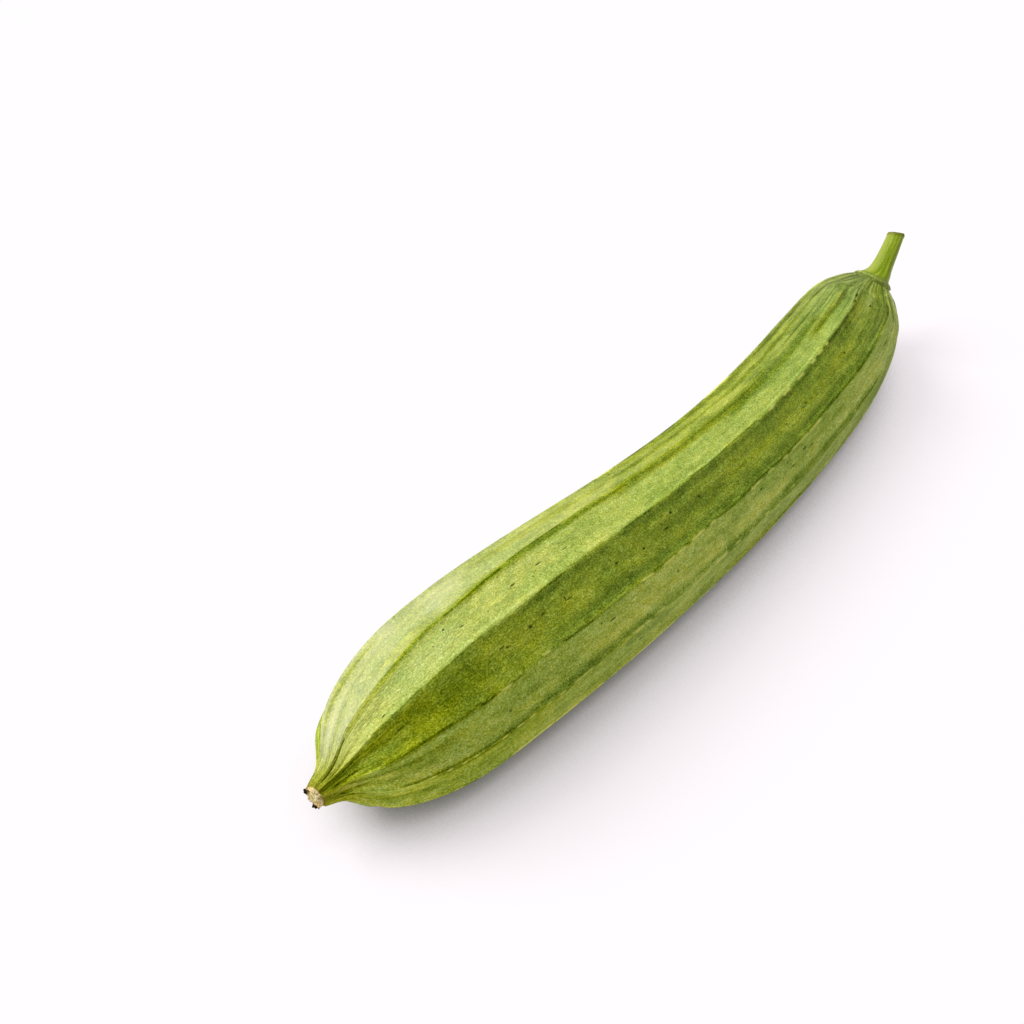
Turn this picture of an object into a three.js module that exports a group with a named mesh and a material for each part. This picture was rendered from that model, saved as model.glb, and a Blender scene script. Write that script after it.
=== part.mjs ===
// A ridge gourd lying on its side: the ten-ridged fruit, its cut stem and the dried scar of its flower.
// Millimetres and degrees. +X runs from the blossom end to the stem, +Z is up, z = 0 is the surface
// that the fruit lies on, and the origin is the middle of the space that the whole gourd takes up there.
import * as THREE from 'three';

// ---- the fruit's axis ----
const FRUIT_LENGTH = 354; // from the blossom end's face to the collar, along X
const BOW_DEPTH = 15.9; // how far the fruit bends towards -Y
const BOW_SKEW = 1.23; // above 1, the deepest bow is nearer the stem
const BLOSSOM_HEIGHT = 24.2; // the axis above the surface, at the blossom end's face
const NECK_HEIGHT = 24.9; // and at the neck, a little way in
const SHOULDER_HEIGHT = 27.2; // and where the shoulder closes towards the stem
const COLLAR_HEIGHT = 27.9; // and at the collar
const COLLAR_RISE = 45; // degrees that the collar faces upwards
const COLLAR_TURN = -3.5; // degrees that it faces towards +Y
const SHOULDER_START = 0.84; // share of the length where the rings begin to lean up with the stem
const SHOULDER_SHIFT = 1.3; // how far the shoulder swings back towards +Y, at the collar

// ---- the fruit's section ----
// Share of the length, and the distance from the axis to the ridges' crests there.
const CREST_RADIUS = [
  [0, 4.2],
  [0.02, 7.7],
  [0.045, 17.5],
  [0.08, 23.9],
  [0.13, 28.2],
  [0.2, 29.6],
  [0.3, 29.4],
  [0.42, 28.1],
  [0.56, 26.7],
  [0.7, 25.9],
  [0.82, 25.4],
  [0.9, 23.2],
  [0.95, 19],
  [0.985, 13.2],
  [1, 9.2],
];
// Each ridge's angle about the axis: 0 is straight up and 90 faces -Y. Growth turned some of them a little,
// so each has an angle at each of these shares of the length.
const RIDGE_SHARES = [0.06, 0.3, 0.55, 0.78, 0.9, 1];
const RIDGE_ANGLES = [
  [-86, -86, -86, -87, -87, -82],
  [-46, -48, -48, -51, -51, -44],
  [-1, -10.7, -11, -15, -15.7, -5],
  [25, 20, 18.9, 14.3, 12.5, 13.8],
  [55, 55.5, 54.7, 53, 54, 64.7],
  [84.5, 85.5, 84.3, 81.6, 80.4, 87],
  [121, 122, 122, 120, 118, 120],
  [161, 161, 161, 161, 158, 155],
  [199, 199, 199, 199, 198, 195],
  [237, 237, 237, 236, 235, 236],
];
// Two ridges stand out from the rest in places: millimetres further out, at the same shares.
const RIDGE_REACH = new Map([
  [1, [0, 0, 0, 0.4, -0.5, 1]],
  [6, [0, 0.45, 0.45, 0.6, 1.2, 0.9]],
]);
const REST_HALF_ANGLE = 19; // degrees from straight down to each of the two ridges that it lies on
const HOLLOW = 0.012; // how far the skin between two ridges dips below a flat, as a share of the radius
const REST_FLAT = 0.3; // how far the weight flattens the two lowest ridges

// ---- the mesh ----
const RINGS = 62;
const RING_CROWDING = 0.55; // how much closer the rings stand at the two ends, from 0 to 1
const RIB_STEPS = [0, 0.065, 0.28, 0.5, 0.72, 0.935]; // shares of the way from one ridge to the next

// ---- the stem ----
const GAP = 0.3; // clear space between two touching pieces
const CUT_RISE = 55; // degrees that the stem points up at its cut end
const CUT_TURN = 2.5; // degrees that it points towards +Y there
// Distance from the collar's underside, and the radius there.
const STEM_PROFILE = [
  [0, 8.4],
  [0.7, 9],
  [1.6, 8.4],
  [2.4, 7.3],
  [4.2, 6],
  [6.6, 5.1],
  [10, 4.5],
  [15, 4.1],
  [21.5, 3.75],
  [22.9, 3.9],
  [23.6, 3.5],
];
const STEM_SET_ASIDE = 1.4; // how far off the collar's middle the stem stands, towards -Y
const STEM_SIDES = 16;

// ---- the flower's scar ----
// Distance out from the fruit's face, and the radius there.
const SCAR_PROFILE = [
  [0, 3.4],
  [0.5, 3.6],
  [1.5, 3.5],
  [2, 2.9],
];
const SCAR_SIDES = 14;
const SCAR_RISE = 8; // degrees that the scar faces upwards

// ---- the origin, measured from the blossom end's face ----
const MIDDLE_X = 184.6;
const MIDDLE_Y = -9.3;

const rad = THREE.MathUtils.degToRad;
const UP = new THREE.Vector3(0, 0, 1);

// A smooth curve through [where, value] points: a cubic between each two, with each point's slope
// taken from its two neighbours.
function smooth(points, where) {
  const last = points.length - 1;
  let i = 0;
  while (i < last - 1 && where > points[i + 1][0]) i += 1;
  const slope = (k) => {
    const before = points[Math.max(k - 1, 0)];
    const after = points[Math.min(k + 1, last)];
    return (after[1] - before[1]) / (after[0] - before[0]);
  };
  const [x0, y0] = points[i];
  const [x1, y1] = points[i + 1];
  const step = x1 - x0;
  const t = THREE.MathUtils.clamp((where - x0) / step, 0, 1);
  const rise = 3 * t * t - 2 * t * t * t;
  const leave = t * (1 - t) * (1 - t) * step * slope(i);
  const arrive = t * t * (t - 1) * step * slope(i + 1);
  return y0 + rise * (y1 - y0) + leave + arrive;
}

const crestRadius = (share) => smooth(CREST_RADIUS, share);

// The axis stands so that the two lowest ridges would reach REST_FLAT below the surface.
const restHeight = (share) => crestRadius(share) * Math.cos(rad(REST_HALF_ANGLE)) - REST_FLAT;

const AXIS_HEIGHT = [
  [0, BLOSSOM_HEIGHT],
  [0.05, NECK_HEIGHT],
  [0.13, restHeight(0.13)],
  [0.22, restHeight(0.22)],
  [0.34, restHeight(0.34)],
  [0.5, restHeight(0.5)],
  [0.66, restHeight(0.66)],
  [0.8, restHeight(0.8)],
  [0.91, SHOULDER_HEIGHT],
  [1, COLLAR_HEIGHT],
];

function axisPoint(share) {
  const bow = -BOW_DEPTH * Math.sin(Math.PI * Math.pow(share, BOW_SKEW));
  const swing = SHOULDER_SHIFT * THREE.MathUtils.smoothstep(share, SHOULDER_START, 1);
  return new THREE.Vector3(share * FRUIT_LENGTH, bow + swing, smooth(AXIS_HEIGHT, share));
}

// A unit vector that points up by rise and towards +Y by turn, both in degrees.
function heading(rise, turn) {
  const flat = Math.cos(rad(rise));
  return new THREE.Vector3(flat * Math.cos(rad(turn)), flat * Math.sin(rad(turn)), Math.sin(rad(rise)));
}

const COLLAR_HEADING = heading(COLLAR_RISE, COLLAR_TURN);

// The direction that a ring faces: along the axis, and leaning over to the stem's at the shoulder.
function ringHeading(share) {
  const reach = 0.001;
  const before = axisPoint(Math.max(share - reach, 0));
  const after = axisPoint(Math.min(share + reach, 1));
  const along = after.sub(before).normalize();
  const lean = THREE.MathUtils.smoothstep(share, SHOULDER_START, 1);
  return along.lerp(COLLAR_HEADING, lean).normalize();
}

// A point at an angle about a direction: 0 is the upper side and 90 is the side that faces -Y.
function aroundPoint(centre, direction, angle, radius) {
  const side = new THREE.Vector3().crossVectors(direction, UP).normalize();
  const top = new THREE.Vector3().crossVectors(side, direction);
  return centre
    .clone()
    .addScaledVector(side, Math.sin(rad(angle)) * radius)
    .addScaledVector(top, Math.cos(rad(angle)) * radius);
}

// A row of values given at the ridges' shares, read at any share.
function atShare(row, share) {
  const points = RIDGE_SHARES.map((where, i) => [where, row[i]]);
  return smooth(points, THREE.MathUtils.clamp(share, RIDGE_SHARES[0], RIDGE_SHARES.at(-1)));
}

function ridgeAngle(ridge, share) {
  const turn = 360 * Math.floor(ridge / RIDGE_ANGLES.length);
  return atShare(RIDGE_ANGLES[ridge % RIDGE_ANGLES.length], share) + turn;
}

function ridgeReach(ridge, share) {
  const row = RIDGE_REACH.get(ridge);
  return row ? atShare(row, share) : 0;
}

// One ring of the fruit: from each ridge to the next the skin runs nearly straight and dips a little.
function fruitRing(share) {
  const centre = axisPoint(share);
  const direction = ringHeading(share);
  const radius = crestRadius(share);
  const ring = [];
  for (let ridge = 0; ridge < RIDGE_ANGLES.length; ridge += 1) {
    const from = ridgeAngle(ridge, share);
    const width = ridgeAngle(ridge + 1, share) - from;
    const reach = ridgeReach(ridge, share);
    const nextReach = ridgeReach(ridge + 1, share);
    for (const step of RIB_STEPS) {
      const flat = Math.cos(rad(width / 2)) / Math.cos(rad(width * (step - 0.5)));
      const dip = HOLLOW * Math.pow(4 * step * (1 - step), 0.8);
      const further = THREE.MathUtils.lerp(reach, nextReach, step);
      const point = aroundPoint(centre, direction, from + width * step, radius * (flat - dip) + further);
      point.z = Math.max(point.z, 0);
      ring.push(point);
    }
  }
  return ring;
}

// A closed solid through rings of equal count, each end closed by a fan about its middle.
// The rings turn from the upper side towards -Y, seen along +X, and follow each other in +X.
function loft(rings) {
  const sides = rings[0].length;
  const middle = (ring) => ring.reduce((sum, p) => sum.add(p), new THREE.Vector3()).divideScalar(sides);
  const points = [...rings.flat(), middle(rings[0]), middle(rings.at(-1))];
  const startMiddle = points.length - 2;
  const endMiddle = points.length - 1;
  const lastRing = (rings.length - 1) * sides;
  const faces = [];
  for (let side = 0; side < sides; side += 1) {
    const next = (side + 1) % sides;
    for (let row = 0; row < lastRing; row += sides) {
      faces.push(row + side, row + next, row + sides + side);
      faces.push(row + next, row + sides + next, row + sides + side);
    }
    faces.push(startMiddle, next, side);
    faces.push(endMiddle, lastRing + side, lastRing + next);
  }
  const geometry = new THREE.BufferGeometry().setFromPoints(points);
  geometry.setIndex(faces);
  geometry.computeVertexNormals();
  return geometry;
}

// A round bar along a path, through rings of [distance, radius].
function turned(profile, sides, placeAt) {
  const rings = profile.map(([distance, radius]) => {
    const { centre, direction } = placeAt(distance);
    return Array.from({ length: sides }, (_, i) => aroundPoint(centre, direction, (360 * i) / sides, radius));
  });
  return loft(rings);
}

function piece(name, geometry, colour, roughness) {
  const material = new THREE.MeshStandardMaterial({ color: colour, roughness, metalness: 0 });
  const mesh = new THREE.Mesh(geometry, material);
  mesh.name = name;
  return mesh;
}

function fruit() {
  const rings = [];
  for (let i = 0; i < RINGS; i += 1) {
    const even = i / (RINGS - 1);
    const crowded = (RING_CROWDING * Math.sin(2 * Math.PI * even)) / (2 * Math.PI);
    rings.push(fruitRing(even - crowded));
  }
  return piece('fruit', loft(rings), '#93ab45', 0.5);
}

// The stem leaves the collar square to it and curves on its way to the cut.
function stem() {
  const length = STEM_PROFILE.at(-1)[0];
  const root = axisPoint(1).addScaledVector(COLLAR_HEADING, GAP);
  const headingAfter = (share) =>
    heading(
      THREE.MathUtils.lerp(COLLAR_RISE, CUT_RISE, share),
      THREE.MathUtils.lerp(COLLAR_TURN, CUT_TURN, share),
    );
  const placeAt = (distance) => {
    const centre = root.clone().addScaledVector(headingAfter(distance / length / 2), distance);
    centre.y -= STEM_SET_ASIDE * THREE.MathUtils.smoothstep(distance, 1, 6);
    return { centre, direction: headingAfter(distance / length) };
  };
  return piece('stem', turned(STEM_PROFILE, STEM_SIDES, placeAt), '#a3b32c', 0.55);
}

// The scar is built outwards from the fruit's face, so its rings are turned round to run in +X.
function blossomScar() {
  const inwards = heading(-SCAR_RISE, 0);
  const face = axisPoint(0);
  const placeAt = (distance) => ({
    centre: face.clone().addScaledVector(inwards, -distance - 2 * GAP),
    direction: inwards,
  });
  const outwardsFirst = [...SCAR_PROFILE].reverse();
  return piece('blossom_scar', turned(outwardsFirst, SCAR_SIDES, placeAt), '#b9a070', 0.9);
}

const gourd = new THREE.Group();
gourd.add(fruit(), stem(), blossomScar());
gourd.position.set(-MIDDLE_X, -MIDDLE_Y, 0);

export default gourd;
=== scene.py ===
# %% [markdown]
# # A ridge gourd
# This lesson finishes a ridge gourd that lies on its side: a long bowed fruit with ten soft ridges,
# a short cut stem, and the dried ring that its flower left behind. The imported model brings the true
# sizes. It is loaded first and never changed, and every surface below is built around it.

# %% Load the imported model
import math

import bpy
import numpy as np
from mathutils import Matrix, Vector


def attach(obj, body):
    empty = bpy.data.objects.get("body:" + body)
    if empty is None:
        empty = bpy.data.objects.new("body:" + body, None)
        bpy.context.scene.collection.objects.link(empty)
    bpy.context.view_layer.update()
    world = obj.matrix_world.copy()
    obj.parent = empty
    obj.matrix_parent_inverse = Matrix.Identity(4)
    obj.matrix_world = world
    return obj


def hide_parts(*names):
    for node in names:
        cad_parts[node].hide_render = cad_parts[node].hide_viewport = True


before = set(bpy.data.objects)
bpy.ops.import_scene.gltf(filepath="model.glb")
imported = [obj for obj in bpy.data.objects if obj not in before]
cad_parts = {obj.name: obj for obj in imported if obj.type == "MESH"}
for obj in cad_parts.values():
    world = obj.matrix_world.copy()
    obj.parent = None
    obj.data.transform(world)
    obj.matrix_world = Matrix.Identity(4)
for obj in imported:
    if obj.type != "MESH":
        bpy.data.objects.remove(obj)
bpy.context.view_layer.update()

print("nodes:", sorted(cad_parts))

# %% [markdown]
# ## The camera
# The camera looks down on the gourd from the side of its blossom end, at about forty degrees. Its
# focal length is given as a count of picture pixels, which Blender wants as millimetres of lens in
# front of a sensor 36 mm wide: the ratio of the two widths turns one into the other.

# %% Camera
PICTURE_WIDTH = 1024
FOCAL_LENGTH = 1500
SENSOR_WIDTH = 36.0
CAMERA_PLACE = Vector((-0.3756, -0.2101, 0.3719))
CAMERA_TARGET = Vector((-0.0231, 0.0604, 0.0))



def add_object(name, data):
    """A new object, linked to the scene."""
    thing = bpy.data.objects.new(name, data)
    bpy.context.scene.collection.objects.link(thing)
    return thing


lens = bpy.data.cameras.new("camera")
lens.sensor_width = SENSOR_WIDTH
lens.lens = SENSOR_WIDTH * FOCAL_LENGTH / PICTURE_WIDTH
camera = add_object("camera", lens)
camera.location = CAMERA_PLACE
camera.rotation_euler = (CAMERA_TARGET - CAMERA_PLACE).to_track_quat("-Z", "Y").to_euler()
bpy.context.scene.camera = camera
print(f"lens {lens.lens:.1f} mm, {(CAMERA_TARGET - CAMERA_PLACE).length:.3f} m from its target")

# %% [markdown]
# ## Meshes from whole arrays
# Each piece is a stack of rings of points: a grid that closes on itself one way and ends in a point
# at each end of the other. numpy works out all of its points at once, and one helper turns any such
# stack into a closed mesh. Shapes are worked out in millimetres, and become metres here.

# %% A closed mesh from rings
MM = 0.001


def closed_mesh(name, rings):
    """A closed surface through rings of points, an array of (ring, point, xyz) in millimetres.
    Quads join each ring to the next, and a fan of triangles about the ring's middle closes each end."""
    count, sides = rings.shape[:2]
    middles = np.stack([rings[0].mean(0), rings[-1].mean(0)])
    points = np.vstack([rings.reshape(-1, 3), middles]) * MM
    side = np.arange(sides)
    after = (side + 1) % sides
    row = np.arange(count - 1)[:, None] * sides
    quads = np.stack([row + side, row + after, row + sides + after, row + sides + side], -1).reshape(-1, 4)
    last = (count - 1) * sides
    start_fan = np.stack([np.full(sides, count * sides), after, side], -1)
    end_fan = np.stack([np.full(sides, count * sides + 1), last + side, last + after], -1)
    mesh = bpy.data.meshes.new(name)
    mesh.from_pydata(points.tolist(), [], quads.tolist() + start_fan.tolist() + end_fan.tolist())
    mesh.polygons.foreach_set("use_smooth", np.ones(len(mesh.polygons), bool))
    mesh.update()
    print(f"{name}: {len(quads) * 2 + sides * 2} triangles")
    return add_object(name, mesh)


def add_values(piece, name, values):
    """Stores three numbers for each point of a piece, for its material to read. The middle of each end
    takes the mean of its ring."""
    middles = [values[0].mean(0), values[-1].mean(0)]
    everything = np.vstack([values.reshape(-1, 3), middles])
    layer = piece.data.attributes.new(name, "FLOAT_VECTOR", "POINT")
    layer.data.foreach_set("vector", np.ascontiguousarray(everything, np.float32).ravel())


# %% [markdown]
# ## The fruit's main lines
# The fruit is a bent axis, a radius that swells and narrows along it, and ten ridges that wander a
# little about it. The same curve joins all the measured points: a cubic between each two, with its
# slope at a point taken from the neighbours, so nothing overshoots and nothing has a corner.

# %% Axis, radius and ridges
FRUIT_LENGTH = 354.0
BOW_DEPTH = 15.9
BOW_SKEW = 1.23
COLLAR_RISE, COLLAR_TURN = 45.0, -3.5
SHOULDER_START = 0.84
SHOULDER_SHIFT = 1.3
REST_HALF_ANGLE = 19.0
REST_FLAT = 0.3
MIDDLE = np.array([184.6, -9.3, 0.0])
CREST_SHARES = [0, 0.02, 0.045, 0.08, 0.13, 0.2, 0.3, 0.42, 0.56, 0.7, 0.82, 0.9, 0.95, 0.985, 1]
CREST_RADII = [4.2, 7.7, 17.5, 23.9, 28.2, 29.6, 29.4, 28.1, 26.7, 25.9, 25.4, 23.2, 19, 13.2, 9.2]
REST_SHARES = [0.13, 0.22, 0.34, 0.5, 0.66, 0.8]
END_HEIGHTS = {0: 24.2, 0.05: 24.9, 0.91: 27.2, 1: 27.9}
RIDGE_SHARES = [0.06, 0.3, 0.55, 0.78, 0.9, 1]
RIDGE_ANGLES = [
    [-86, -86, -86, -87, -87, -82],
    [-46, -48, -48, -51, -51, -44],
    [-1, -10.7, -11, -15, -15.7, -5],
    [25, 20, 18.9, 14.3, 12.5, 13.8],
    [55, 55.5, 54.7, 53, 54, 64.7],
    [84.5, 85.5, 84.3, 81.6, 80.4, 87],
    [121, 122, 122, 120, 118, 120],
    [161, 161, 161, 161, 158, 155],
    [199, 199, 199, 199, 198, 195],
    [237, 237, 237, 236, 235, 236],
]
RIDGES = len(RIDGE_ANGLES)
# Two ridges stand out from the rest in places: millimetres further out, at the same shares.
RIDGE_REACH = np.zeros((RIDGES + 1, len(RIDGE_SHARES)))
RIDGE_REACH[1] = [0, 0, 0, 0.4, -0.5, 1]
RIDGE_REACH[6] = [0, 0.45, 0.45, 0.6, 1.2, 0.9]


def smooth(places, values, where):
    """A smooth curve through points. Between two points it is the cubic that leaves and arrives with
    each point's slope, the rise over the run between that point's two neighbours."""
    places, values, where = (np.asarray(v, float) for v in (places, values, where))
    before, after = np.r_[0, np.arange(len(places) - 1)], np.r_[np.arange(1, len(places)), len(places) - 1]
    slope = (values[after] - values[before]) / (places[after] - places[before])
    i = np.clip(np.searchsorted(places, where) - 1, 0, len(places) - 2)
    step = places[i + 1] - places[i]
    t = np.clip((where - places[i]) / step, 0, 1)
    bend = t * (1 - t) ** 2 * slope[i] + t * t * (t - 1) * slope[i + 1]
    return values[i] + (3 * t * t - 2 * t**3) * (values[i + 1] - values[i]) + bend * step


def ease(t):
    """0 below 0, 1 above 1, and the smooth step 3t^2 - 2t^3 between."""
    t = np.clip(t, 0, 1)
    return t * t * (3 - 2 * t)


def bell(distance, width):
    """1 at distance 0, falling away smoothly: e to the power of minus the square of distance / width."""
    return np.exp(-((distance / width) ** 2))


def unit(vectors):
    """The same directions, one long."""
    return vectors / np.linalg.norm(vectors, axis=-1, keepdims=True)


def across_axes(along):
    """The level direction across an axis, and the one that points up from both."""
    sideways = unit(np.cross(along, [0, 0, 1]))
    return sideways, np.cross(sideways, along)


def heading(rise, turn):
    """A unit vector that points up by rise and towards +Y by turn, in degrees."""
    up, round_z = np.radians(rise), np.radians(turn)
    return np.stack([np.cos(up) * np.cos(round_z), np.cos(up) * np.sin(round_z), np.sin(up)], -1)


def circle(sides):
    """Angles of points evenly spaced around a ring."""
    return 2 * np.pi * np.arange(sides) / sides


def crest_radius(share):
    """Distance from the axis to the ridges' crests, at a share of the fruit's length."""
    return smooth(CREST_SHARES, CREST_RADII, share)


def axis_point(share):
    """The axis: straight on in X, bowed towards -Y by a skewed half sine, swung back a little at the
    shoulder, and high enough that the two lowest ridges just reach the surface that it lies on."""
    rest = crest_radius(np.array(REST_SHARES)) * np.cos(np.radians(REST_HALF_ANGLE)) - REST_FLAT
    heights = {**END_HEIGHTS, **dict(zip(REST_SHARES, rest))}
    shares = sorted(heights)
    bow = -BOW_DEPTH * np.sin(np.pi * share**BOW_SKEW)
    swing = SHOULDER_SHIFT * ease((share - SHOULDER_START) / (1 - SHOULDER_START))
    height = smooth(shares, [heights[s] for s in shares], share)
    return np.stack([share * FRUIT_LENGTH, bow + swing, height], -1)


def ring_frame(share):
    """Centre, sideways and upward directions of the ring at each share. A ring faces along the axis,
    and leans over to the stem's direction at the shoulder."""
    nearby = 0.001
    along = unit(axis_point(np.minimum(share + nearby, 1)) - axis_point(np.maximum(share - nearby, 0)))
    lean = ease((share - SHOULDER_START) / (1 - SHOULDER_START))[:, None]
    along = unit(along * (1 - lean) + heading(COLLAR_RISE, COLLAR_TURN) * lean)
    return axis_point(share), *across_axes(along)


print(f"widest across the ridges: {2 * max(CREST_RADII):.0f} mm")

# %% [markdown]
# ## Unevenness that repeats the same way each time
# Nothing that grew is even. Seeded random heights, joined by smooth blends, bend the ridges and dent
# the skin between them. They close on themselves around the fruit, so they leave no seam.

# %% Smooth random heights
SEED = 7


def patchwork(along, around, size, count, seed):
    """Random heights from -1 to 1 on a lattice, with cells of one size along the fruit and a whole
    count of cells around it. A point takes a smooth-step blend of its cell's four corners."""
    lattice = np.random.default_rng(SEED + seed).uniform(-1, 1, (int(FRUIT_LENGTH / size) + 3, count))
    row, column = np.broadcast_arrays(along / size, around / RIDGES * count)
    i, j = np.floor(row).astype(int), np.floor(column).astype(int)
    down, across = ease(row - i), ease(column - j)
    near = lattice[i, j % count] * (1 - across) + lattice[i, (j + 1) % count] * across
    far = lattice[i + 1, j % count] * (1 - across) + lattice[i + 1, (j + 1) % count] * across
    return near * (1 - down) + far * down


# %% [markdown]
# ## The fruit's surface
# On the real fruit each ridge is a low bead with a groove beside it, deeper on one side than on the
# other, and the skin between two ridges is nearly flat. Both ends are drawn together in pleats, and
# a few creases run down into the neck. So the section starts as a ten-sided outline, and each of
# those features is then cut into it as a depth below that outline.

# %% Grooves, pleats and creases
# The hollow between two ridges, as a part of the radius: all along, then more towards each end.
HOLLOW, HOLLOW_POWER = 0.012, 0.8
NECK_HOLLOW, NECK_REACH = 0.05, 0.035
SHOULDER_HOLLOW, SHOULDER_REACH = 0.045, 0.05
# How deep the groove is before and after each ridge, in millimetres.
GROOVES = [
    (0.4, 0.4), (0.35, 0.3), (0.45, 0.35), (0.15, 0.35), (0.45, 0.25),
    (0.5, 0.3), (0.4, 0.4), (0.2, 0.1), (0.1, 0.2), (0.4, 0.4),
]
GROOVE_START, GROOVE_FADE = 25.0, 45.0
GROOVE_OFFSET, GROOVE_WIDTH = 1.8, 1.2
GROOVE_SWELL = 0.45
BEAD_ROUNDING, BEAD_WIDTH = 0.3, 0.7
# Depth in millimetres, its change in wide and in small patches, and how far from a ridge it is full.
DENT_DEPTH, WIDE_DENTS, SMALL_DENTS, DENT_START = 0.42, 0.28, 0.14, 4
PLEAT_DEPTH, WIDE_PLEATS, SMALL_PLEATS, PLEAT_START = 0.5, 0.3, 0.2, 1.5
# Where the pleats are deepest, as shares of the length, and their reach.
NECK_PLEATS, SHOULDER_PLEATS, PLEATS_REACH = 0.03, 0.985, 0.05
SHOULDER_PLEATING = 0.8
# Below these radii the grooves, pleats and creases are shallower.
GROOVE_ROOM, PLEAT_ROOM, CREASE_ROOM = 22, 10, 9
RIDGE_WANDER, WANDER_FADE = 0.7, 0.08
# Ridge number where a crease starts and where it ends, the millimetres along the fruit at those two
# places, its depth and its half width in millimetres.
CREASES = [
    (2.40, 2.04, 1, 14, 0.9, 0.28), (2.92, 2.60, 2, 15, 0.7, 0.30),
    (3.25, 3.10, 2, 16, 0.4, 0.30), (3.95, 3.58, 2, 14, 0.6, 0.50),
    (3.90, 3.75, 8, 30, 0.3, 0.50), (4.30, 4.25, 5, 22, 0.3, 0.50),
    (5.00, 4.48, 3, 14, 0.55, 0.50), (4.70, 4.55, 10, 38, 0.3, 0.60),
    (5.55, 5.20, 2, 12, 0.5, 0.50), (5.60, 5.45, 8, 34, 0.3, 0.60),
    (1.55, 1.62, 3, 24, 0.25, 0.60), (6.40, 6.50, 4, 30, 0.4, 0.50),
    (7.30, 7.40, 4, 26, 0.4, 0.50), (8.50, 8.40, 4, 32, 0.4, 0.50),
    (9.60, 9.50, 4, 28, 0.4, 0.50), (0.50, 0.45, 4, 30, 0.4, 0.50),
    (3.00, 2.92, 300, 351, 0.5, 0.50), (2.45, 2.50, 268, 350, 0.4, 0.90),
    (2.10, 2.20, 315, 351, 0.3, 0.60), (3.42, 3.48, 322, 352, 0.3, 0.60),
    (3.86, 3.90, 290, 350, 0.20, 0.60), (4.45, 4.50, 318, 352, 0.35, 0.70),
    (1.50, 1.50, 305, 350, 0.3, 0.80), (5.50, 5.50, 312, 352, 0.35, 0.70),
    (6.45, 6.50, 308, 350, 0.35, 0.70), (7.50, 7.50, 316, 352, 0.3, 0.60),
    (8.50, 8.50, 305, 350, 0.35, 0.80), (9.50, 9.50, 312, 352, 0.3, 0.60),
    (0.50, 0.50, 308, 350, 0.35, 0.70),
]


def at_ridges(rows, share):
    """Each row's value at each share, on a smooth curve that is level before its first point."""
    held = np.clip(share, RIDGE_SHARES[0], RIDGE_SHARES[-1])
    return np.stack([smooth(RIDGE_SHARES, row, held) for row in rows], -1)


def ridge_angles(share):
    """The angle of every ridge at each share, in degrees, and the first one again a turn later. Each
    ridge wanders by part of a degree as it goes."""
    angles = at_ridges(RIDGE_ANGLES, share)
    along = share[:, None] * FRUIT_LENGTH
    wander = patchwork(along, np.arange(RIDGES)[None, :] + 0.0, 16, RIDGES, 1)
    steady = ease(share / WANDER_FADE)[:, None] * ease((1 - share) / WANDER_FADE)[:, None]
    angles += RIDGE_WANDER * wander * steady
    return np.hstack([angles, angles[:, :1] + 360])


def shorter_way(numbers):
    """A difference of ridge numbers, taken the shorter way round."""
    return (numbers + RIDGES / 2) % RIDGES - RIDGES / 2


def beside(around, number, radius):
    """Millimetres around the fruit from a ridge number."""
    return shorter_way(around - number) * radius * 2 * np.pi / RIDGES


def creases(along, around, radius):
    """The depth of the creases: a bell across each, fading in and out along it. A crease slants
    evenly from its first ridge number to its last."""
    depth = np.zeros(around.shape)
    for first, last, start, end, deep, width in CREASES:
        part = np.clip((along - start) / (end - start), 0, 1)
        fade = ease(4 * part) * ease(3 * (1 - part))
        depth += deep * bell(beside(around, first + (last - first) * part, radius), width) * fade
    return depth


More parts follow.
